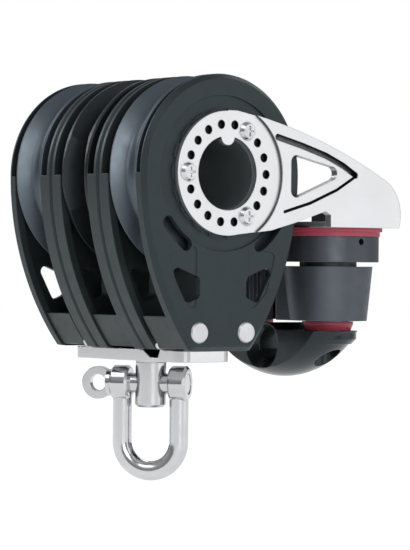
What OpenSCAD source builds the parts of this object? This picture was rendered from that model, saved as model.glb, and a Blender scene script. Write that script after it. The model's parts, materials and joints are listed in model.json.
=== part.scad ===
// Triple sheave block with a hollow centre, a ratchet sheave in the middle, a screw-pin
// shackle on a swivel, and a cam cleat with its fairlead on a side arm.
// Frame: X runs along the axle towards the near side, Y towards the cleat, Z up.
// The origin is the middle of the axle.

/* [Sheaves] */
// Radius of the sheaves over their flanges
sheave_r = 28.5; // [28.3:0.1:28.7]
// Width of a sheave
sheave_w = 12.6; // [12.4:0.1:12.7]
// Radius of the bottom of the rope groove
groove_r = 4.0; // [3.8:0.1:4.1]
// Number of balls in one row
balls_per_row = 16; // [12:1:17]

/* [Cheeks] */
// Clearance between a sheave and the shells beside it
side_gap = 0.4; // [0.35:0.05:0.5]
// Thickness of an inner shell over its rim
inner_shell_t = 5.1; // [5:0.1:5.4]
// Thickness of an outer cheek over its rim
outer_shell_t = 3.8; // [3.6:0.1:4.2]
// Thickness of the plate of every shell
plate_t = 1.9; // [1.8:0.1:2]
// Depth of the cheeks below the axle
base_z = 50.9; // [50.7:0.1:51.1]

/* [Centre] */
// Radius of the hole through the axle
bore_r = 10.3; // [10.1:0.1:10.5]
// Outer radius of the axle tube, which is the inner race
race_r = 12.0; // [11.9:0.05:12.1]

/* [Shackle] */
// Angle of the shackle pin from the axle, seen from above
shackle_turn = 38; // [0:1:90]
// Radius of the bow's bar
bow_bar_r = 2.88; // [2.7:0.02:3]
// Distance from the middle of the bow to the middle of a leg
bow_leg_s = 8.65; // [8.5:0.05:8.8]

/* [Cleat] */
// Half the distance between the cam pivots
cam_x = 19; // [18.9:0.1:19.2]
// Distance of the cam pivots behind the axle
cam_y = 52; // [51.5:0.1:52.5]
// Radius at the ends of the cleat base
cleat_r = 15.2; // [15:0.1:15.4]

/* [Hidden] */
$fn = 96;

eps = 0.01;
// How far straight sides lie inside the round corners that they join, so that they cross
flat_in = 0.02;
big = 200;
black = [0.09, 0.10, 0.11];
silver = [0.86, 0.87, 0.88];
steel = [0.72, 0.72, 0.74];
grey = [0.32, 0.33, 0.35];
red = [0.62, 0.16, 0.20];

// Flanks of the rope grooves: their lean outwards, and the flange that they leave at the rim
flank_angle = 28;
flange_rim_t = 0.6;

// Stack along the axle
bay_w = sheave_w + 2 * side_gap;
pitch = bay_w + 2 * inner_shell_t;
outer_x = pitch + bay_w / 2 + outer_shell_t;
sheave_x = [-pitch, 0, pitch];

// Cheek outline: a circle on top, two long side arcs and a rounded foot
side_r = 82;
side_y = side_r - sheave_r;
foot_r = 5.9;
foot_y = 9.15;
foot_z = base_z - foot_r;
rim_t = 2.4;
hub_boss_r = 20.5;
foot_block_z = 41;
outer_chamfer = 1.4;
inner_chamfer = 0.8;
rivet_y = 8.48;
rivet_z = 45.5;
rivet_r = 1.6;
rivet_head_r = 3.05;
rivet_head_t = 0.7;

// Openings and recesses of an outer cheek
slot_track_r = 24.3;
slot_r = 1.9;
slot_start = 216;
slot_end = 237;
window_pts = [[16, -28.6], [9.9, -30.9], [9.9, -34.4], [12.3, -35.3]];
window_r = 1.6;
panel_y = 9.4;
face_step_r = 22.3;
scallop_track_r = 19.2;
scallop_r = 1.5;

// Bearings
sheave_bore_r = 16.9;
ball_r = (sheave_bore_r - race_r) / 2 - 0.05;
ball_track_r = (sheave_bore_r + race_r) / 2;
row_x = 2.9;
ratchet_row_x = -3.2;

// Ratchet
teeth = 24;
tooth_tip_r = 17.1;
tooth_root_r = 18.4;
ratchet_from_x = 1.4;
facets = 8;
facet_r = 20.8;
pawl_pivot_r = 14.3;
pawl_pin_r = 0.9;
pawl_x = [2.0, 5.4];
pawl_spring_r = 1.4;
pawl_spring_wire_r = 0.12;

// Strap and swivel
strap_x = 27;
strap_y = 9.5;
strap_t = 3.4;
strap_z = base_z + strap_t;
strap_corner_r = 4;
tab_t = 1.5;
tab_x = pitch - bay_w / 2;
tab_y = 9.5;
tab_top_z = 42;
post_r = 3.0;
barrel_r = 4.6;
barrel_top_z = 55.0;
barrel_end_z = 68.3;
head_r = 5.0;
head_seat_z = 52.5;
head_top_z = 48.4;
pin_r = 3.0;
pin_z = 61.3;
run_gap = 0.05;
ear_r = 5.3;
ear_in_s = 6.1;
ear_out_s = 11.55;
bow_centre_z = 78.5;
eye_s = 15.9;
eye_r = 4.85;
eye_hole_r = 2.4;
eye_t = 2.8;

// Arm: a ring on each cheek, a web to the cleat, and a plate across
arm_t = 1.7;
web_t = 2.6;
arm_x = outer_x + arm_t;
ring_r = 17.8;
ring_hole_r = 10.6;
ring_track_r = 14.05;
ring_holes = 18;
ring_hole_small_r = 1.3;
screw_every = 6;
tab_r = 2.4;
flange_z = 14.8;
flange_t = 1.7;
flange_y = [38, 62.6];
web_top_r = 184.3;
web_top_c = [-26.3, -163.9];
tip_r = 11.9;
tip_c = [53.4, -11];
step_r = 19.6;
window_tri = [[24.7, 3.9], [38.2, 0.95], [24.7, -4.4]];
window_tri_r = 2.0;
upper_groove_r = 0.95;
lower_groove_r = 0.45;
groove_depth = 1.7;
arm_screw_r = 1.2;
arm_screw_head_r = 2.75;
arm_screw_len = 5;

// Cleat heights
pad_t = 2.5;
pad_lip_t = 1.1;
pad_z = flange_z + pad_t;
base_bottom_z = 25;
base_hole_r = 1.0;
base_hole_depth = 4;
collar_z = 26.6;
collar_r = 8.6;
cam_top_z = 26.3;
cam_end_z = 42.6;
cap_top_z = 42.9;
cap_end_z = 45.6;
cam_back_top_r = 13.4;
cam_back_end_r = 11.8;
cam_face_r = 18.3;
cam_spiral = 0.06;
cam_teeth = 11;
cam_tooth_depth = 0.9;
cam_bore_r = 8.75;
cam_post_r = 5.45;
cam_ball_r = (cam_bore_r - cam_post_r) / 2 - 0.05;
cam_ball_track_r = (cam_bore_r + cam_post_r) / 2;
cam_row_z = [32.6, 39.6];
spring_pocket_r = 10.4;
spring_pocket_z = 30.0;
spring_r = 9.6;
spring_wire_r = 0.4;
screw_r = 2.5;
screw_hole_r = 2.6;
nut_r = 5.2;
nut_top_z = 8.9;

// Fairlead: a crowned bowl that hangs below the cams, with a flared eye for the rope
arch_centre_z = 25;
arch_r = 35;
crown_r = 14.6;
arch_half_w = 8.6;
arch_inner_r = 5.5;
arch_y = cam_y - 1.5;
eye_ring_z = 50.2;
eye_ring_r = 6.7;
eye_ring_half_w = 7;
eye_throat_r = 4.8;
eye_throat_half_w = 5.5;
eye_mouth_r = 7.6;
lead_pad_r = 8.7;
lead_pad_z = 49.6;
lead_pad_chamfer = 1.5;
lead_head_r = 3.9;
lead_head_z = 47.4;

function polar(r, a) = [r * cos(a), r * sin(a)];

// A flat shape drawn in Y and Z, made solid from x0 to x1
module slab(x0, x1) {
    translate([x0, 0, 0]) rotate([90, 0, 90]) linear_extrude(x1 - x0) children();
}

// A flat shape drawn in X and Y, made solid from height z0 up to z1
module layer(z0, z1) {
    translate([0, 0, z0]) linear_extrude(z1 - z0) children();
}

// A cone along the axle
module cone_x(y, z, ra, rb, x0, x1) {
    translate([x0, y, z]) rotate([0, 90, 0]) cylinder(r1 = ra, r2 = rb, h = x1 - x0);
}

module rod_x(y, z, r, x0, x1) {
    cone_x(y, z, r, r, x0, x1);
}

// A flat outline with its corners rounded outwards by r
module rounded(pts, r) {
    polygon(pts);
    for (i = [0 : len(pts) - 1]) {
        p = pts[i];
        q = pts[(i + 1) % len(pts)];
        n = [q[1] - p[1], p[0] - q[0]] / norm(q - p) * (r - flat_in);
        translate(p) circle(r = r);
        polygon([p + n, q + n, q - n, p - n]);
    }
}

// A helical spring wire with square-set sections around Z, from height 0 upwards
module helix(coil_r, wire_r, pitch_z, turns, steps, sides) {
    rings = turns * steps;
    pts = [for (i = [0 : rings]) for (j = [0 : sides - 1])
        let (a = 360 * i / steps, b = 360 * j / sides, r = coil_r + wire_r * cos(b))
        [r * cos(a), r * sin(a), pitch_z * i / steps + wire_r * sin(b)]];
    sides_f = [for (i = [0 : rings - 1]) for (j = [0 : sides - 1])
        let (k = (j + 1) % sides)
        [i * sides + j, i * sides + k, (i + 1) * sides + k, (i + 1) * sides + j]];
    start_f = [[for (j = [sides - 1 : -1 : 0]) j]];
    end_f = [[for (j = [0 : sides - 1]) rings * sides + j]];
    polyhedron(points = pts, faces = concat(sides_f, start_f, end_f), convexity = 8);
}

// ---- Cheek shells ----

// The cheek outline as a solid from x0 to x1, drawn in by i0 at x0 and by i1 at x1
module cheek_solid(x0, x1, i0 = 0, i1 = 0) {
    cone_x(0, 0, sheave_r - i0, sheave_r - i1, x0, x1);
    intersection() {
        cone_x(-side_y, 0, side_r - i0, side_r - i1, x0, x1);
        cone_x(side_y, 0, side_r - i0, side_r - i1, x0, x1);
        union() {
            translate([x0, -sheave_r, -foot_z]) cube([x1 - x0, 2 * sheave_r, foot_z]);
            for (s = [-1, 1]) cone_x(s * foot_y, -foot_z, foot_r - i0, foot_r - i1, x0, x1);
            rotate([90, 0, 0]) linear_extrude(2 * foot_y, center = true)
                polygon([[x0, i0 - base_z], [x1, i1 - base_z], [x1, -foot_z], [x0, -foot_z]]);
        }
    }
}

// A curved slot along a circle, as a flat shape
module arc_slot(track_r, half_w, a0, a1) {
    intersection() {
        difference() {
            circle(r = track_r + half_w);
            circle(r = track_r - half_w);
        }
        polygon([[0, 0], polar(2 * track_r, a0), polar(2 * track_r, (a0 + a1) / 2), polar(2 * track_r, a1)]);
    }
    for (a = [a0, a1]) translate(polar(track_r, a)) circle(r = half_w);
}

module cheek_openings() {
    for (s = [0, 1]) mirror([s, 0]) {
        arc_slot(slot_track_r, slot_r, slot_start, slot_end);
        rounded([for (p = window_pts) [-p[0], p[1]]], window_r);
    }
}

// A shell with its back at x = 0 and its rim reaching x = t, where the sheave runs
module shell(t, chamfer) {
    difference() {
        union() {
            cheek_solid(0, chamfer, chamfer, 0);
            cheek_solid(chamfer, plate_t);
            difference() {
                cheek_solid(plate_t - eps, t);
                difference() {
                    cheek_solid(plate_t - 1, t + 1, rim_t, rim_t);
                    translate([0, -big / 2, -big - foot_block_z]) cube([t, big, big]);
                }
                translate([-1, -big / 2, -0.4]) cube([t + 2, big, big]);
            }
            rod_x(0, 0, hub_boss_r, plate_t - eps, t);
        }
        rod_x(0, 0, race_r, -1, t + 1);
        for (s = [-1, 1]) rod_x(s * rivet_y, -rivet_z, rivet_r, -1, t + 1);
        slab(-1, t + 1) cheek_openings();
    }
}

// Recesses in the outer face of an outer cheek: a ring step, scallops and side panels
module outer_face_recesses() {
    depth = 0.6;
    slab(-1, depth) difference() {
        circle(r = face_step_r);
        circle(r = scallop_track_r - 0.6);
    }
    slab(-1, depth) for (i = [0 : ring_holes - 1])
        translate(polar(scallop_track_r, 10 + i * 360 / ring_holes)) circle(r = scallop_r);
    slab(-1, depth / 2) for (s = [0, 1]) mirror([s, 0])
        rounded([[-panel_y - 1.5, -22.5], [-17.5, -24], [-14.7, -33.5], [-panel_y - 1.5, -37]], 1.5);
}

module outer_cheek() {
    color(black) difference() {
        shell(outer_shell_t, outer_chamfer);
        outer_face_recesses();
        for (i = [0 : screw_every : ring_holes - 1])
            let (p = polar(ring_track_r, 60 + i * 360 / ring_holes))
            rod_x(p[0], p[1], arm_screw_r, -1, arm_screw_len - arm_t);
    }
}

module far_outer_cheek() {
    translate([-outer_x, 0, 0]) outer_cheek();
}

module near_outer_cheek() {
    translate([outer_x, 0, 0]) mirror([1, 0, 0]) outer_cheek();
}

divider_x = bay_w / 2 + inner_shell_t;

module inner_shell() {
    color(black) shell(inner_shell_t, inner_chamfer);
}

module far_divider_outer_shell() {
    translate([-divider_x, 0, 0]) mirror([1, 0, 0]) inner_shell();
}

module far_divider_inner_shell() {
    translate([-divider_x, 0, 0]) inner_shell();
}

module near_divider_inner_shell() {
    color(black) difference() {
        translate([divider_x, 0, 0]) mirror([1, 0, 0]) inner_shell();
        pawl_pins();
    }
}

module near_divider_outer_shell() {
    translate([divider_x, 0, 0]) inner_shell();
}

module hollow_axle() {
    color(black) difference() {
        rod_x(0, 0, race_r, -outer_x, outer_x);
        rod_x(0, 0, bore_r, -outer_x - 1, outer_x + 1);
    }
}

// ---- Sheaves and bearings ----

// The sheave's blank section: radius first, then the place along the axle
module sheave_section() {
    h = sheave_w / 2;
    c = 0.4;
    polygon([[sheave_bore_r, -h], [sheave_r - c, -h], [sheave_r, -h + c], [sheave_r, h - c],
             [sheave_r - c, h], [sheave_bore_r, h]]);
}

// Half of a plain sheave, on the side s of its middle plane
module plain_sheave_half(x, s) {
    h = sheave_w / 2;
    track = sheave_r - (h - flange_rim_t - groove_r * cos(flank_angle)) / tan(flank_angle)
        + groove_r * sin(flank_angle);
    start = [track, 0] + (groove_r - flat_in) * [-sin(flank_angle), cos(flank_angle)];
    end = start + 2 * groove_r * [cos(flank_angle), sin(flank_angle)];
    color(black) translate([x, 0, 0]) rotate([0, 90, 0]) rotate_extrude() intersection() {
        difference() {
            sheave_section();
            translate([track, 0]) circle(r = groove_r);
            polygon([[start[0], -start[1]], [end[0], -end[1]], end, start]);
        }
        translate([0, s > 0 ? 0 : -h]) square([2 * sheave_r, h]);
    }
}

module far_sheave_far_half() {
    plain_sheave_half(sheave_x[0], -1);
}

module far_sheave_near_half() {
    plain_sheave_half(sheave_x[0], 1);
}

module near_sheave_far_half() {
    plain_sheave_half(sheave_x[2], -1);
}

module near_sheave_near_half() {
    plain_sheave_half(sheave_x[2], 1);
}

// Half of the middle sheave, which grips the rope with flat facets
module ratchet_sheave_half(s) {
    difference() {
        rotate([0, 90, 0]) rotate_extrude() sheave_section();
        for (i = [0 : facets - 1]) rotate([i * 360 / facets, 0, 0])
            rotate([90, 0, 0]) linear_extrude(4 * sheave_r, center = true)
                polygon([[-2.6, facet_r], [2.6, facet_r], [5.65, sheave_r + 1.2], [5.65, sheave_r + 9],
                         [-5.65, sheave_r + 9], [-5.65, sheave_r + 1.2]]);
        translate([s > 0 ? -big : 0, -big / 2, -big / 2]) cube(big);
    }
}

module ratchet_sheave_far_half() {
    color(black) ratchet_sheave_half(-1);
}

// The near half has the ratchet teeth inside
module ratchet_sheave_near_half() {
    step = 360 / teeth;
    color(black) difference() {
        ratchet_sheave_half(1);
        slab(ratchet_from_x, sheave_w) polygon([for (i = [0 : teeth - 1])
            each [polar(tooth_root_r, i * step), polar(tooth_tip_r, (i + 1) * step)]]);
    }
}

module ball_row(x) {
    for (i = [0 : balls_per_row - 1]) rotate([i * 360 / balls_per_row, 0, 0])
        translate([x, 0, ball_track_r]) sphere(r = ball_r);
}

module far_ball_rows() {
    color("white") for (s = [-1, 1]) ball_row(sheave_x[0] + s * row_x);
}

module near_ball_rows() {
    color("white") for (s = [-1, 1]) ball_row(sheave_x[2] + s * row_x);
}

module ratchet_ball_row() {
    color("white") ball_row(ratchet_row_x);
}

module pawl_pins() {
    color(steel) for (s = [-1, 1])
        rod_x(s * pawl_pivot_r, 0, pawl_pin_r, pawl_x[0] - 0.2, bay_w / 2 + 2);
}

module pawl_springs() {
    color(steel) for (s = [-1, 1]) translate([pawl_x[1] + 0.45, s * pawl_pivot_r, 0])
        rotate([0, 90, 0]) helix(pawl_spring_r, pawl_spring_wire_r, 0.3, 2, 16, 6);
}

// A pawl with its pivot behind the axle, resting clear of the teeth
module pawl() {
    color(steel) difference() {
        union() {
            rod_x(pawl_pivot_r, 0, 1.9, pawl_x[0], pawl_x[1]);
            slab(pawl_x[0], pawl_x[1]) translate([pawl_pivot_r, 0])
                polygon([[1.3, 0], [0.1, -8.2], [-1.4, -8.2], [-1.6, 0]]);
        }
        rod_x(pawl_pivot_r, 0, pawl_pin_r + run_gap, 0, 10);
    }
}

module rear_pawl() {
    pawl();
}

module front_pawl() {
    rotate([180, 0, 0]) pawl();
}

// ---- Base ----

module base_spacer(x0, x1) {
    difference() {
        intersection() {
            cheek_solid(x0, x1, 0.6, 0.6);
            translate([x0, -big / 2, -big - foot_block_z]) cube([x1 - x0, big, big]);
        }
        for (s = [-1, 1]) rod_x(s * rivet_y, -rivet_z, rivet_r, x0 - 1, x1 + 1);
    }
}

module far_base_spacer() {
    color(black) base_spacer(-pitch - bay_w / 2, -tab_x - tab_t);
}

module near_base_spacer() {
    color(black) base_spacer(tab_x + tab_t, pitch + bay_w / 2);
}

// The middle spacer leaves room for the head of the swivel
module middle_base_spacer() {
    color(black) difference() {
        base_spacer(-bay_w / 2, bay_w / 2);
        translate([0, 0, -base_z - 1]) cylinder(r = head_r + 0.6, h = base_z + 1 - head_top_z + 0.6);
    }
}

module base_rivets() {
    end_x = outer_x + rivet_head_t;
    color("white") for (s = [-1, 1]) {
        rod_x(s * rivet_y, -rivet_z, rivet_r, -end_x, end_x);
        for (m = [0, 1]) mirror([m, 0, 0])
            cone_x(s * rivet_y, -rivet_z, rivet_head_r, rivet_head_r - 0.4, outer_x, end_x);
    }
}

// Strap under the cheeks, with two tabs up to the rivets and a relief on each long side
module base_strap() {
    c = strap_corner_r;
    color(silver) difference() {
        union() {
            layer(-strap_z, -base_z)
                rounded([[-strap_x + c, -strap_y + c], [strap_x - c, -strap_y + c],
                         [strap_x - c, strap_y - c], [-strap_x + c, strap_y - c]], c);
            for (m = [0, 1]) mirror([m, 0, 0])
                slab(tab_x, tab_x + tab_t) {
                    rounded([[-tab_y, -base_z + 2], [tab_y, -base_z + 2],
                             [tab_y, -tab_top_z - 2], [-tab_y, -tab_top_z - 2]], 2);
                    translate([1 - tab_y, -base_z - 1]) square([2 * (tab_y - 1), 4]);
                }
        }
        translate([0, 0, -strap_z - 1]) cylinder(r = post_r + run_gap, h = strap_t + 2);
        translate([0, 0, -head_seat_z]) cylinder(r = head_r + 0.5, h = strap_t);
        for (s = [-1, 1]) rod_x(s * rivet_y, -rivet_z, rivet_r, -30, 30);
        for (a = [0, 180]) rotate([0, 0, a])
            rotate([90, 0, 0]) linear_extrude(20)
                polygon([[8.5, -base_z + eps], [12.5, -strap_z + 1.1], [15.9, -strap_z + 1.1],
                         [16.9, -base_z + eps]]);
    }
}

// ---- Swivel and shackle ----

module swivel_post() {
    c = 0.8;
    color(steel) difference() {
        union() {
            translate([0, 0, -barrel_top_z - eps]) cylinder(r = post_r, h = barrel_top_z - head_seat_z + 2);
            translate([0, 0, -barrel_end_z + c]) cylinder(r = barrel_r, h = barrel_end_z - barrel_top_z - c);
            translate([0, 0, -barrel_end_z]) cylinder(r1 = barrel_r - c, r2 = barrel_r, h = c);
        }
        rotate([0, 0, shackle_turn]) rod_x(0, -pin_z, pin_r + run_gap, -10, 10);
    }
}

// The head is fixed on the post above the strap
module swivel_head() {
    color(steel) difference() {
        translate([0, 0, -head_seat_z + 0.2]) cylinder(r = head_r, h = head_seat_z - head_top_z - 0.2);
        swivel_post();
        translate([0, 0, -head_top_z - 1]) rotate([0, 0, 45]) translate([-0.5, -4, 0.2]) cube([1, 8, 2]);
    }
}

module swivel_washer() {
    color(steel) difference() {
        translate([0, 0, -barrel_top_z]) cylinder(r = barrel_r, h = barrel_top_z - strap_z - 0.2);
        swivel_post();
    }
}

module shackle_bow() {
    c = 0.7;
    color(steel) rotate([0, 0, shackle_turn]) difference() {
        union() {
            for (m = [0, 1]) mirror([m, 0, 0]) {
                translate([bow_leg_s, 0, -bow_centre_z]) cylinder(r = bow_bar_r, h = bow_centre_z - pin_z);
                cone_x(0, -pin_z, ear_r - c, ear_r, ear_in_s, ear_in_s + c);
                rod_x(0, -pin_z, ear_r, ear_in_s + c, ear_out_s - c);
                cone_x(0, -pin_z, ear_r, ear_r - c, ear_out_s - c, ear_out_s);
            }
            translate([0, 0, -bow_centre_z]) difference() {
                rotate([90, 0, 0]) rotate_extrude() translate([bow_leg_s, 0]) circle(r = bow_bar_r);
                translate([-big / 2, -big / 2, 0]) cube(big);
            }
        }
        rod_x(0, -pin_z, pin_r + run_gap, -20, 20);
    }
}

// Screw pin with a collar and a flat eye to turn it by
module shackle_pin() {
    collar_s = [ear_out_s + 0.1, ear_out_s + 1.5];
    color(steel) rotate([0, 0, shackle_turn]) {
        rod_x(0, -pin_z, pin_r, -collar_s[0] - eps, ear_out_s - 0.2);
        mirror([1, 0, 0]) rod_x(0, -pin_z, 4.0, collar_s[0], collar_s[1]);
        translate([-eye_s, eye_t / 2, -pin_z]) rotate([90, 0, 0]) difference() {
            union() {
                cylinder(r = eye_r, h = eye_t);
                translate([0, -3.4, 0]) cube([eye_s - collar_s[0] - 0.5, 6.8, eye_t]);
            }
            translate([0, 0, -1]) cylinder(r = eye_hole_r, h = eye_t + 2);
        }
    }
}

// ---- Arm ----

// Flat outline of one side of the arm: ring, web, round tip and foot
module arm_outline() {
    circle(r = ring_r);
    intersection() {
        translate(web_top_c) circle(r = web_top_r);
        polygon([[0, 18], [57, 18], [57, -8], [37.8, -11.2], [36, -10.2], [31, -11.7],
                 [25.3, -13.5], [15.4, -16.1], [3, -17.5]]);
    }
    intersection() {
        translate(tip_c) circle(r = tip_r);
        translate([50, -flange_z]) square([20, 20]);
    }
    translate([flange_y[0], -flange_z]) square([tip_c[0] - flange_y[0], 10]);
}

// A flat band of half width r that follows a line of points
module track(pts, r) {
    for (p = pts) translate(p) circle(r = r);
    for (i = [0 : len(pts) - 2]) {
        p = pts[i];
        q = pts[i + 1];
        n = [q[1] - p[1], p[0] - q[0]] / norm(q - p) * (r - flat_in);
        polygon([p + n, q + n, q - n, p - n]);
    }
}

// The grooves beside the window's frame
module frame_grooves() {
    track([[17.6, 10.9], [27, 8.6], [36, 6.0], [42.5, 3.3], [47.3, 0.6]], upper_groove_r);
    track([[20.4, -10.6], [30, -7.9], [40, -3.9], [46.5, -0.2]], lower_groove_r);
}

// One side of the arm against the outer face of a cheek
module arm_side(key) {
    difference() {
        union() {
            slab(outer_x, arm_x) arm_outline();
            slab(outer_x, outer_x + web_t) difference() {
                arm_outline();
                circle(r = step_r);
            }
        }
        slab(outer_x - 1, outer_x + web_t + 1) {
            difference() {
                circle(r = ring_hole_r);
                if (key) translate([0, ring_hole_r - 0.2]) circle(r = tab_r);
            }
            for (i = [0 : ring_holes - 1])
                translate(polar(ring_track_r, i * 360 / ring_holes))
                    circle(r = ring_hole_small_r);
            rounded(window_tri, window_tri_r);
        }
        slab(outer_x + web_t - groove_depth, outer_x + web_t + 1) frame_grooves();
    }
}

module near_arm() {
    color(silver) arm_side(true);
}

module far_arm() {
    color(silver) mirror([1, 0, 0]) arm_side(false);
}

// Plate welded between the two sides, which carries the cleat
module arm_cross_plate() {
    color(silver) difference() {
        translate([-outer_x, flange_y[0], -flange_z])
            cube([2 * outer_x, flange_y[1] - flange_y[0], flange_t]);
        for (s = [-1, 1]) translate([s * cam_x, cam_y, -flange_z - 1]) cylinder(r = screw_hole_r, h = 5);
        translate([0, flange_y[0] - 14, -flange_z - 1]) cylinder(r = 22, h = flange_t + 2);
    }
}

// Three pan-head screws hold each side of the arm to its cheek
module arm_screws() {
    head_t = 1.3;
    for (i = [0 : screw_every : ring_holes - 1])
        let (p = polar(ring_track_r, 60 + i * 360 / ring_holes)) difference() {
            union() {
                rod_x(p[0], p[1], arm_screw_r, arm_x - arm_screw_len, arm_x + eps);
                cone_x(p[0], p[1], arm_screw_head_r, arm_screw_head_r - 0.7, arm_x, arm_x + head_t);
            }
            for (a = [0, 90]) translate([arm_x + head_t, p[0], p[1]]) rotate([a, 0, 0])
                cube([1.4, 3, 0.6], center = true);
        }
}

module near_arm_screws() {
    color(steel) arm_screws();
}

module far_arm_screws() {
    color(steel) mirror([1, 0, 0]) arm_screws();
}

// ---- Cleat ----

// Flat outline with two round ends about the cam pivots
module stadium(r) {
    for (s = [-1, 1]) translate([s * cam_x, cam_y]) circle(r = r);
    translate([-cam_x, cam_y - r]) square([2 * cam_x, 2 * r]);
}

module at_pivots() {
    for (s = [-1, 1]) translate([s * cam_x, cam_y, 0]) children();
}

module screw_holes() {
    at_pivots() translate([0, 0, -70]) cylinder(r = screw_hole_r, h = 65);
}

module cleat_pad() {
    color(red) difference() {
        union() {
            layer(-pad_z, -flange_z - pad_lip_t) stadium(cleat_r + 0.3);
            layer(-flange_z - pad_lip_t, -flange_z) stadium(cleat_r + 1);
        }
        screw_holes();
    }
}

module cleat_base() {
    color(grey) difference() {
        union() {
            layer(-base_bottom_z, -pad_z) stadium(cleat_r);
            at_pivots() translate([0, 0, -collar_z]) cylinder(r = collar_r, h = 1 + collar_z - base_bottom_z);
        }
        screw_holes();
        for (m = [0, 1]) mirror([m, 0, 0])
            rod_x(cam_y, -pad_z - 1.6, base_hole_r, cam_x + cleat_r - base_hole_depth, cam_x + cleat_r + 1);
    }
}

module cam_posts() {
    color(steel) at_pivots() difference() {
        translate([0, 0, -cap_top_z]) cylinder(r = cam_post_r, h = cap_top_z - collar_z);
        translate([0, 0, -60]) cylinder(r = screw_hole_r, h = 40);
    }
}

// The near cam: a round tapered back and a toothed face that swells away from the block
module cam() {
    from = 138;
    to = 226;
    step = (to - from) / (2 * cam_teeth);
    face = [for (i = [0 : 2 * cam_teeth])
        let (a = from + i * step)
        polar(cam_face_r + (180 - a) * cam_spiral - (i % 2) * cam_tooth_depth, a)];
    difference() {
        union() {
            translate([0, 0, -cam_end_z])
                cylinder(r1 = cam_back_end_r, r2 = cam_back_top_r, h = cam_end_z - cam_top_z);
            layer(-cam_end_z, -cam_top_z) polygon(concat([polar(cam_back_end_r - 1, 85)], face,
                                                         [polar(cam_back_end_r - 1, 268)]));
        }
        translate([0, 0, -cam_end_z - 1]) cylinder(r = cam_bore_r, h = 30);
        translate([0, 0, -spring_pocket_z]) cylinder(r = spring_pocket_r, h = 10);
    }
}

module near_cam() {
    color(grey) translate([cam_x, cam_y, 0]) cam();
}

module far_cam() {
    color(grey) translate([-cam_x, cam_y, 0]) mirror([1, 0, 0]) cam();
}

module cam_balls() {
    count = 10;
    for (z = cam_row_z) for (i = [0 : count - 1]) rotate([0, 0, i * 360 / count])
        translate([cam_ball_track_r, 0, -z]) sphere(r = cam_ball_r);
}

module near_cam_balls() {
    color("white") translate([cam_x, cam_y, 0]) cam_balls();
}

module far_cam_balls() {
    color("white") translate([-cam_x, cam_y, 0]) cam_balls();
}

module cam_spring() {
    translate([0, 0, -spring_pocket_z + 0.6]) helix(spring_r, spring_wire_r, 1.0, 2.5, 32, 6);
}

module near_cam_spring() {
    color(steel) translate([cam_x, cam_y, 0]) cam_spring();
}

module far_cam_spring() {
    color(steel) translate([-cam_x, cam_y, 0]) mirror([1, 0, 0]) cam_spring();
}

module cam_caps() {
    color(red) difference() {
        at_pivots() {
            translate([0, 0, -cap_end_z]) cylinder(r1 = 6.9, r2 = 7.7, h = cap_end_z - cap_top_z - 0.8);
            translate([0, 0, -cap_top_z - 0.8]) cylinder(r = 7.7, h = 0.8);
        }
        screw_holes();
    }
}

module cleat_screws() {
    color(steel) at_pivots() {
        translate([0, 0, -lead_head_z]) cylinder(r = screw_r, h = lead_head_z - nut_top_z + 0.6);
        translate([0, 0, -lead_pad_z + 0.2]) difference() {
            cylinder(r = lead_head_r - 0.1, h = lead_pad_z - lead_head_z - 0.2);
            translate([0, 0, -1]) cylinder(r = 1.6, h = 2.2, $fn = 6);
        }
    }
}

module cleat_nuts() {
    color(grey) at_pivots() difference() {
        union() {
            translate([0, 0, -flange_z + flange_t]) cylinder(r = nut_r, h = 3.2, $fn = 6);
            translate([0, 0, -flange_z + flange_t]) cylinder(r = 4.1, h = flange_z - flange_t - nut_top_z);
        }
        translate([0, 0, -20]) cylinder(r = screw_r, h = 20);
    }
}

// The rope's eye through the fairlead, flared towards both faces
module rope_eye() {
    flare = arch_half_w - eye_throat_half_w;
    translate([0, arch_y, -eye_ring_z]) rotate([90, 0, 0]) {
        cylinder(r = eye_throat_r, h = 4 * arch_half_w, center = true);
        for (m = [0, 1]) mirror([0, 0, m]) {
            translate([0, 0, eye_throat_half_w])
                cylinder(r1 = eye_throat_r, r2 = eye_mouth_r, h = flare);
            translate([0, 0, arch_half_w - eps]) cylinder(r = eye_mouth_r, h = arch_half_w);
        }
    }
}

// Crowned bowl below the cams, with a pad under each cam
module fairlead() {
    color(black) difference() {
        union() {
            intersection() {
                translate([0, arch_y, -arch_centre_z]) rotate([90, 0, 0]) rotate_extrude()
                    intersection() {
                        translate([arch_r - crown_r, 0]) circle(r = crown_r);
                        translate([arch_inner_r, -arch_half_w]) square([arch_r, 2 * arch_half_w]);
                    }
                translate([-big / 2, -big / 2, -big - cap_end_z]) cube(big);
            }
            translate([0, arch_y, -eye_ring_z]) rotate([90, 0, 0])
                cylinder(r = eye_ring_r, h = 2 * eye_ring_half_w, center = true);
            at_pivots() rotate_extrude() polygon([
                [0, -lead_pad_z], [lead_pad_r - lead_pad_chamfer, -lead_pad_z],
                [lead_pad_r, lead_pad_chamfer - lead_pad_z], [lead_pad_r, -cap_end_z], [0, -cap_end_z]]);
        }
        rope_eye();
        screw_holes();
        at_pivots() translate([0, 0, -70]) cylinder(r = lead_head_r, h = 70 - lead_head_z);
    }
}

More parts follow.
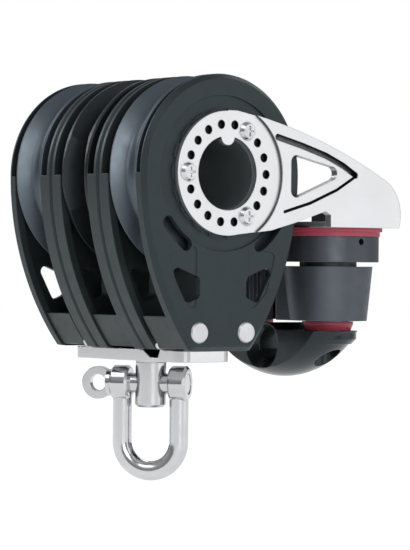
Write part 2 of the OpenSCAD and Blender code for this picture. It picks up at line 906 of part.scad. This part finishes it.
far_outer_cheek();
far_divider_outer_shell();
far_divider_inner_shell();
near_divider_inner_shell();
near_divider_outer_shell();
near_outer_cheek();
hollow_axle();
far_sheave_far_half();
far_sheave_near_half();
ratchet_sheave_far_half();
ratchet_sheave_near_half();
near_sheave_far_half();
near_sheave_near_half();
far_ball_rows();
ratchet_ball_row();
near_ball_rows();
pawl_pins();
pawl_springs();
rear_pawl();
front_pawl();
far_base_spacer();
middle_base_spacer();
near_base_spacer();
base_rivets();
base_strap();
swivel_post();
swivel_head();
swivel_washer();
shackle_bow();
shackle_pin();
near_arm();
far_arm();
arm_cross_plate();
near_arm_screws();
far_arm_screws();
cleat_pad();
cleat_base();
cam_posts();
near_cam();
far_cam();
near_cam_balls();
far_cam_balls();
near_cam_spring();
far_cam_spring();
cam_caps();
cleat_screws();
cleat_nuts();
fairlead();
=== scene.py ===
"""A triple ratchet block with a cam cleat on a side arm.

Materials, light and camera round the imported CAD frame. Every CAD node keeps its own mesh.
Lengths are in metres, in the frame of the CAD: +X along the axle to the near side, +Y towards the
cleat, +Z up.
"""

import json
import math

import bpy
from mathutils import Matrix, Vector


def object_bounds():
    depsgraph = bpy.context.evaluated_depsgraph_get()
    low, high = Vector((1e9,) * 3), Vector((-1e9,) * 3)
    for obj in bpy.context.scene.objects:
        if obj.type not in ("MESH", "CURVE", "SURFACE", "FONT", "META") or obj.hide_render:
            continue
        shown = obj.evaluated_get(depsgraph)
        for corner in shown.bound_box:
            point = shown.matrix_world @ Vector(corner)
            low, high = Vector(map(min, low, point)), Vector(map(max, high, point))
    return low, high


MM = 0.001

# The camera, at the photograph's angle
CAMERA_PLACE = (0.65582, -0.48865, -0.02606)
CAMERA_HEADING = 52.211
CAMERA_TILT = 89.781
CAMERA_ROLL = 0.531
CAMERA_LENS = 181.3
CAMERA_CLIP = (0.01, 50.0)
SENSOR = 36.0

# The stage
FLOOR_RADIUS = 3.0
FLOOR_GAP = 0.4 * MM
FLOOR_SEGMENTS = 96
FLOOR_GREY = (0.3, 0.3, 0.3)
FLOOR_GLOW = 0.865

# Lights: name, (turn about Z from facing +Y, height above the horizon) in degrees, distance from
# the origin, width, height, power in watts
SOFTBOXES = (
    ("strip_left", (-57, 26), 1.0, 0.24, 0.42, 2.8),
    ("panel_front", (70, 14), 1.2, 0.55, 0.65, 4.85),
    ("panel_right", (128, 12), 1.0, 0.75, 0.9, 2.05),
    ("key_high", (20, 52), 1.1, 0.7, 0.6, 2.4),
    ("rim_back", (215, 35), 1.1, 0.6, 0.4, 1.5),
)

# The room's brightness in reflections, by height from 0 straight below to 1 overhead
ROOM_BELOW = (0.45, 0.45, 0.46, 1)
ROOM_ABOVE = (0.35, 0.36, 0.38, 1)
ROOM_LEVELS = ((0.42, 0.30), (0.50, 0.12), (0.60, 0.32), (0.75, 0.45))
ROOM_BLUE = 1.03

# Colours, linear
CHARCOAL = (0.016, 0.0195, 0.0205)
HUB_GREY = (0.075, 0.085, 0.089)
SHEAVE_BLACK = (0.022, 0.029, 0.037)
BLACK = (0.008, 0.009, 0.010)
GRAPHITE = (0.076, 0.084, 0.098)
CAM_GREY = (0.090, 0.100, 0.118)
NUT_GREY = (0.045, 0.047, 0.05)
ANODISED = (0.015, 0.019, 0.023)
RED = (0.360, 0.050, 0.078)
STEEL = (0.60, 0.605, 0.62)
BRIGHT = (0.69, 0.695, 0.71)
SCREW_STEEL = (0.66, 0.66, 0.68)
RIVET_METAL = (0.64, 0.64, 0.66)
WIRE = (0.55, 0.55, 0.56)
IVORY = (0.80, 0.78, 0.72)
PLASTIC_TINT = (0.73, 0.93, 1.0)
SHEAVE_TINT = (0.75, 0.88, 1.0)
# Painted shade: the black laid into the arm's narrow grooves
PAINTED_GROOVE_SHADE = (0.012, 0.013, 0.015)

# The openness below which the painted groove shade is full, and above which it has given way to bare
# steel
SHADE_FULL_OPENNESS = 0.5
SHADE_GONE_OPENNESS = 0.82


class Shader:
    """A material being built: small helpers over its node tree."""

    def __init__(self, name):
        self.material = bpy.data.materials.new(name)
        self.material.use_nodes = True
        self.tree = self.material.node_tree
        self.bsdf = self.tree.nodes["Principled BSDF"]
        self.place = self.add("ShaderNodeTexCoord").outputs["Object"]

    def add(self, kind, **values):
        """A new node, with its properties set to values."""
        node = self.tree.nodes.new(kind)
        for key, value in values.items():
            setattr(node, key, value)
        return node

    def link(self, source, target):
        self.tree.links.new(source, target)

    def set(self, **values):
        """Sets plain numbers and colours on the shader itself."""
        for key, value in values.items():
            name = key.replace("_", " ").title().replace("Ior", "IOR")
            if isinstance(value, tuple) and len(value) == 3:
                value = (*value, 1.0)
            self.bsdf.inputs[name].default_value = value

    def noise(self, scale, detail=4.0, roughness=0.55, stretch=None):
        """Noise with features about 1/scale metres across, drawn out along an axis by stretch."""
        source = self.place
        if stretch:
            mapping = self.add("ShaderNodeMapping")
            mapping.inputs["Scale"].default_value = stretch
            self.link(source, mapping.inputs["Vector"])
            source = mapping.outputs["Vector"]
        node = self.add("ShaderNodeTexNoise")
        node.inputs["Scale"].default_value = scale
        node.inputs["Detail"].default_value = detail
        node.inputs["Roughness"].default_value = roughness
        self.link(source, node.inputs["Vector"])
        return node.outputs["Fac"]

    def span(self, value, low, high, start=0.3, end=0.7):
        """Maps value from start-end to low-high."""
        node = self.add("ShaderNodeMapRange")
        node.inputs["From Min"].default_value = start
        node.inputs["From Max"].default_value = end
        node.inputs["To Min"].default_value = low
        node.inputs["To Max"].default_value = high
        self.link(value, node.inputs["Value"])
        return node.outputs["Result"]

    def blend(self, factor, first, second):
        """A colour between two, by factor. Each colour is a tuple or another node's output."""
        node = self.add("ShaderNodeMix", data_type="RGBA")
        self.link(factor, node.inputs["Factor"])
        for index, colour in ((6, first), (7, second)):
            if isinstance(colour, tuple):
                node.inputs[index].default_value = (*colour, 1.0)
            else:
                self.link(colour, node.inputs[index])
        return node.outputs[2]

    def math(self, operation, first, second=None):
        node = self.add("ShaderNodeMath", operation=operation)
        for socket, value in zip(node.inputs, (first, second)):
            if value is None:
                continue
            if isinstance(value, (int, float)):
                socket.default_value = value
            else:
                self.link(value, socket)
        return node.outputs[0]

    def rounded_normal(self, radius):
        """The surface's normal with its edges rounded by radius."""
        node = self.add("ShaderNodeBevel", samples=6)
        node.inputs["Radius"].default_value = radius
        return node.outputs["Normal"]

    def edge(self, normal, reach):
        """0 on flat faces, rising to 1 on the edges that normal rounds."""
        true = self.add("ShaderNodeNewGeometry").outputs["Normal"]
        dot = self.add("ShaderNodeVectorMath", operation="DOT_PRODUCT")
        self.link(normal, dot.inputs[0])
        self.link(true, dot.inputs[1])
        return self.span(dot.outputs["Value"], 1.0, 0.0, 1.0 - reach, 0.999)

    def openness(self, reach):
        """0 in a narrow groove, 1 out in the open, judged over a distance of reach."""
        node = self.add("ShaderNodeAmbientOcclusion", samples=12)
        node.inputs["Distance"].default_value = reach
        return self.span(node.outputs["AO"], 0.0, 1.0, SHADE_FULL_OPENNESS, SHADE_GONE_OPENNESS)

    def bumps(self, normal, *layers):
        """Stacks bump layers, each (height output, depth in metres), on a normal."""
        for height, depth in layers:
            node = self.add("ShaderNodeBump")
            node.inputs["Strength"].default_value = 1.0
            node.inputs["Distance"].default_value = depth
            self.link(height, node.inputs["Height"])
            self.link(normal, node.inputs["Normal"])
            normal = node.outputs["Normal"]
        self.link(normal, self.bsdf.inputs["Normal"])

    def turned_rings(self, spacing):
        """Fine rings about the axle, as a lathe or a mould leaves them."""
        split = self.add("ShaderNodeSeparateXYZ")
        self.link(self.place, split.inputs[0])
        flat = self.add("ShaderNodeCombineXYZ")
        self.link(split.outputs["Y"], flat.inputs["Y"])
        self.link(split.outputs["Z"], flat.inputs["Z"])
        length = self.add("ShaderNodeVectorMath", operation="LENGTH")
        self.link(flat.outputs[0], length.inputs[0])
        along = self.math("ADD", length.outputs["Value"], split.outputs["X"])
        return self.math("SINE", self.math("MULTIPLY", along, 2 * math.pi / spacing))


def moulded_plastic(name, colour, roughness, edge_radius=0.35 * MM, grain=0.004 * MM, lift=2.2):
    """Moulded plastic: fine grain, slightly uneven gloss, and paler edges, partly rubbed wear and
    partly a painted highlight.
    """
    s = Shader(name)
    normal = s.rounded_normal(edge_radius)
    patches = s.noise(90.0, 5.0)
    paler = tuple(min(1.0, c * lift) for c in colour)
    darker = tuple(c * 0.82 for c in colour)
    body = s.blend(s.span(patches, 0.0, 1.0), darker, colour)
    # Paler edges: partly rubbed wear, partly a painted highlight laid along every rounded edge
    pale_edges = s.math("MULTIPLY", s.edge(normal, 0.35), s.span(s.noise(700.0), 0.05, 0.8))
    s.link(s.blend(pale_edges, body, paler), s.bsdf.inputs["Base Color"])
    s.link(s.span(s.noise(260.0, 6.0), roughness - 0.05, roughness + 0.07), s.bsdf.inputs["Roughness"])
    s.bumps(normal, (s.noise(5200.0, 2.0), grain), (s.noise(140.0, 3.0), 0.02 * MM))
    s.set(specular_ior_level=0.4, specular_tint=PLASTIC_TINT)
    return s.material


def turned_plastic(name, colour, roughness):
    """Smooth glossy plastic with faint rings about the axle."""
    s = Shader(name)
    normal = s.rounded_normal(0.3 * MM)
    patches = s.noise(120.0, 5.0)
    darker = tuple(c * 0.8 for c in colour)
    s.link(s.blend(s.span(patches, 0.0, 1.0), darker, colour), s.bsdf.inputs["Base Color"])
    s.link(s.span(s.noise(330.0, 6.0), roughness - 0.04, roughness + 0.06), s.bsdf.inputs["Roughness"])
    s.bumps(normal, (s.turned_rings(0.5 * MM), 0.0012 * MM), (s.noise(2600.0, 2.0), 0.0015 * MM))
    s.set(ior=1.6, specular_ior_level=1.0, specular_tint=SHEAVE_TINT)
    return s.material


def anodised(name, colour, roughness, metallic=0.85, grain=0.006 * MM):
    """Blasted and anodised aluminium: fine even grain and pale worn edges."""
    s = Shader(name)
    normal = s.rounded_normal(0.3 * MM)
    paler = tuple(min(1.0, c * 2.6 + 0.02) for c in colour)
    body = s.blend(s.span(s.noise(150.0, 5.0), 0.0, 1.0), tuple(c * 0.85 for c in colour), colour)
    pale_edges = s.math("MULTIPLY", s.edge(normal, 0.3), s.span(s.noise(900.0), 0.1, 0.9))
    s.link(s.blend(pale_edges, body, paler), s.bsdf.inputs["Base Color"])
    s.link(s.span(s.noise(400.0, 6.0), roughness - 0.05, roughness + 0.08), s.bsdf.inputs["Roughness"])
    s.bumps(normal, (s.noise(4200.0, 2.0), grain))
    s.set(metallic=metallic)
    return s.material


def polished_steel(name, colour, roughness, edge_radius=0.35 * MM):
    """Polished stainless steel with faint smears and fine scratches."""
    s = Shader(name)
    normal = s.rounded_normal(edge_radius)
    smears = s.noise(75.0, 6.0, 0.6, (1.0, 1.0, 2.2))
    darker = tuple(c * 0.86 for c in colour)
    s.link(s.blend(s.span(smears, 0.0, 1.0), darker, colour), s.bsdf.inputs["Base Color"])
    s.link(s.span(smears, roughness - 0.03, roughness + 0.07), s.bsdf.inputs["Roughness"])
    scratches = s.noise(900.0, 3.0, 0.6, (1.0, 14.0, 3.0))
    s.bumps(normal, (scratches, 0.0015 * MM), (s.noise(110.0, 2.0), 0.01 * MM))
    s.set(metallic=1.0)
    return s.material


def brushed_steel(name, colour, roughness):
    """Bright stainless sheet, brushed along its length, with painted shade turning its narrow grooves
    black.
    """
    s = Shader(name)
    normal = s.rounded_normal(0.35 * MM)
    brushing = s.noise(5000.0, 2.0, 0.5, (1.0, 0.015, 1.0))
    clouds = s.noise(60.0, 4.0)
    clean = s.blend(s.span(clouds, 0.0, 1.0), tuple(c * 0.94 for c in colour), colour)
    # Painted shade: the base colour goes to black where ambient occlusion finds a narrow groove
    s.link(s.blend(s.openness(2.5 * MM), PAINTED_GROOVE_SHADE, clean), s.bsdf.inputs["Base Color"])
    s.link(s.span(brushing, roughness - 0.02, roughness + 0.1), s.bsdf.inputs["Roughness"])
    s.bumps(normal, (brushing, 0.0014 * MM))
    s.set(metallic=0.9)
    return s.material


def drawn_wire(name):
    """Spring wire and small ground pins."""
    s = Shader(name)
    s.link(s.span(s.noise(2400.0, 3.0, 0.6, (1.0, 1.0, 0.2)), 0.22, 0.42), s.bsdf.inputs["Roughness"])
    s.bumps(s.rounded_normal(0.08 * MM), (s.noise(3000.0, 2.0), 0.002 * MM))
    s.set(base_color=WIRE, metallic=1.0)
    return s.material


def make_materials():
    """One finish for each material slot of the record."""
    return {
        "cheek_plastic": moulded_plastic("cheek_plastic", CHARCOAL, 0.42),
        "hub_plastic": moulded_plastic("hub_plastic", HUB_GREY, 0.40),
        "sheave_plastic": turned_plastic("sheave_plastic", SHEAVE_BLACK, 0.33),
        "ratchet_sheave": anodised("ratchet_sheave", ANODISED, 0.36, metallic=0.6),
        "balls": moulded_plastic(
            "balls", IVORY, 0.35, edge_radius=0.05 * MM, grain=0.001 * MM, lift=1.05),
        "spring_steel": drawn_wire("spring_steel"),
        "polished_steel": polished_steel("polished_steel", STEEL, 0.13),
        "arm_steel": brushed_steel("arm_steel", BRIGHT, 0.31),
        "screw_steel": polished_steel("screw_steel", SCREW_STEEL, 0.2, edge_radius=0.15 * MM),
        "rivet": anodised("rivet", RIVET_METAL, 0.40, metallic=0.75, grain=0.004 * MM),
        "red_plastic": moulded_plastic(
            "red_plastic", RED, 0.42, edge_radius=0.3 * MM, grain=0.003 * MM, lift=1.5),
        "cleat_base": anodised("cleat_base", GRAPHITE, 0.42),
        "cam_metal": anodised("cam_metal", CAM_GREY, 0.44),
        "nut": moulded_plastic("nut", NUT_GREY, 0.38, edge_radius=0.2 * MM),
        "fairlead_plastic": moulded_plastic(
            "fairlead_plastic", BLACK, 0.20, edge_radius=0.5 * MM, grain=0.001 * MM),
    }


def dress(frame):
    """Gives every CAD node the finish of its material slot."""
    finishes = make_materials()
    for part in frame["record"]["subparts"]:
        node = frame["nodes"][part["node"]]
        node.data.materials.clear()
        node.data.materials.append(finishes[part["material_slot"]])


def floor(height):
    """A round pale floor just under the object."""
    ring = [(FLOOR_RADIUS * math.cos(a), FLOOR_RADIUS * math.sin(a), height)
            for a in (2 * math.pi * i / FLOOR_SEGMENTS for i in range(FLOOR_SEGMENTS))]
    mesh = bpy.data.meshes.new("floor")
    mesh.from_pydata(ring, [], [list(range(FLOOR_SEGMENTS))])
    piece = bpy.data.objects.new("floor", mesh)
    bpy.context.scene.collection.objects.link(piece)
    s = Shader("floor")
    s.link(s.span(s.noise(6.0), 0.62, 0.72), s.bsdf.inputs["Roughness"])
    s.set(base_color=FLOOR_GREY, specular_ior_level=0.1,
          emission_color=(1.0, 1.0, 1.0), emission_strength=FLOOR_GLOW)
    mesh.materials.append(s.material)


def world_light():
    """A white room, darker in reflections at the horizon and overhead, for contrast in bright metal."""
    world = bpy.data.worlds.new("studio")
    bpy.context.scene.world = world
    world.use_nodes = True
    tree = world.node_tree
    tree.nodes.clear()
    out = tree.nodes.new("ShaderNodeOutputWorld")
    seen = tree.nodes.new("ShaderNodeBackground")
    seen.inputs["Color"].default_value = (1, 1, 1, 1)
    seen.inputs["Strength"].default_value = 1.0
    lit = tree.nodes.new("ShaderNodeBackground")
    place = tree.nodes.new("ShaderNodeTexCoord")
    split = tree.nodes.new("ShaderNodeSeparateXYZ")
    ramp = tree.nodes.new("ShaderNodeValToRGB")
    shift = tree.nodes.new("ShaderNodeMapRange")
    shift.inputs["From Min"].default_value = -1.0
    tree.links.new(place.outputs["Generated"], split.inputs[0])
    tree.links.new(split.outputs["Z"], shift.inputs["Value"])
    tree.links.new(shift.outputs["Result"], ramp.inputs["Fac"])
    tree.links.new(ramp.outputs["Color"], lit.inputs["Color"])
    stops = ramp.color_ramp.elements
    stops[0].position, stops[0].color = 0.0, ROOM_BELOW
    stops[1].position, stops[1].color = 1.0, ROOM_ABOVE
    for position, level in ROOM_LEVELS:
        stops.new(position).color = (level, level, level * ROOM_BLUE, 1)
    lit.inputs["Strength"].default_value = 1.0
    mix = tree.nodes.new("ShaderNodeMixShader")
    path = tree.nodes.new("ShaderNodeLightPath")
    tree.links.new(path.outputs["Is Camera Ray"], mix.inputs[0])
    tree.links.new(lit.outputs[0], mix.inputs[1])
    tree.links.new(seen.outputs[0], mix.inputs[2])
    tree.links.new(mix.outputs[0], out.inputs["Surface"])


def softbox(name, direction, distance, width, height, power):
    """A rectangular light on the given side of the object, turned to face it."""
    light = bpy.data.lights.new(name, "AREA")
    light.shape = "RECTANGLE"
    light.size, light.size_y, light.energy = width, height, power
    piece = bpy.data.objects.new(name, light)
    bpy.context.scene.collection.objects.link(piece)
    azimuth, elevation = (math.radians(a) for a in direction)
    place = Matrix.Rotation(azimuth, 4, "Z") @ Matrix.Rotation(math.pi / 2 - elevation, 4, "X")
    piece.matrix_world = place @ Matrix.Translation((0, 0, distance))


def lights():
    for box in SOFTBOXES:
        softbox(*box)


def camera():
    data = bpy.data.cameras.new("camera")
    data.lens, data.sensor_width = CAMERA_LENS, SENSOR
    data.clip_start, data.clip_end = CAMERA_CLIP
    piece = bpy.data.objects.new("camera", data)
    bpy.context.scene.collection.objects.link(piece)
    heading, tilt, roll = (math.radians(a) for a in (CAMERA_HEADING, CAMERA_TILT, CAMERA_ROLL))
    turn = (Matrix.Rotation(heading, 4, "Z") @ Matrix.Rotation(tilt, 4, "X")
            @ Matrix.Rotation(roll, 4, "Z"))
    piece.matrix_world = Matrix.Translation(CAMERA_PLACE) @ turn
    bpy.context.scene.camera = piece


def plain_colours():
    """Shows colours as they are lit, so that white stays white."""
    bpy.context.scene.view_settings.view_transform = "Standard"


def corners(box):
    return [list(corner) for corner in box]


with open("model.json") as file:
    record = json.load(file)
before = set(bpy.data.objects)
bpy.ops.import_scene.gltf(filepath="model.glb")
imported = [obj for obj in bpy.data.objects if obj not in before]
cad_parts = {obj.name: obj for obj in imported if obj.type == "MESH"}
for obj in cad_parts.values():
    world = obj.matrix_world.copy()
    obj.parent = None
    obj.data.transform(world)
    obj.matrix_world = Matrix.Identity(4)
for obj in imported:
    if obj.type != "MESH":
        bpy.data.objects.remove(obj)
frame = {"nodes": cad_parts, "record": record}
cad_box = corners(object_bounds())
dress(frame)
floor(cad_box[0][2] - FLOOR_GAP)
world_light()
lights()
camera()
plain_colours()
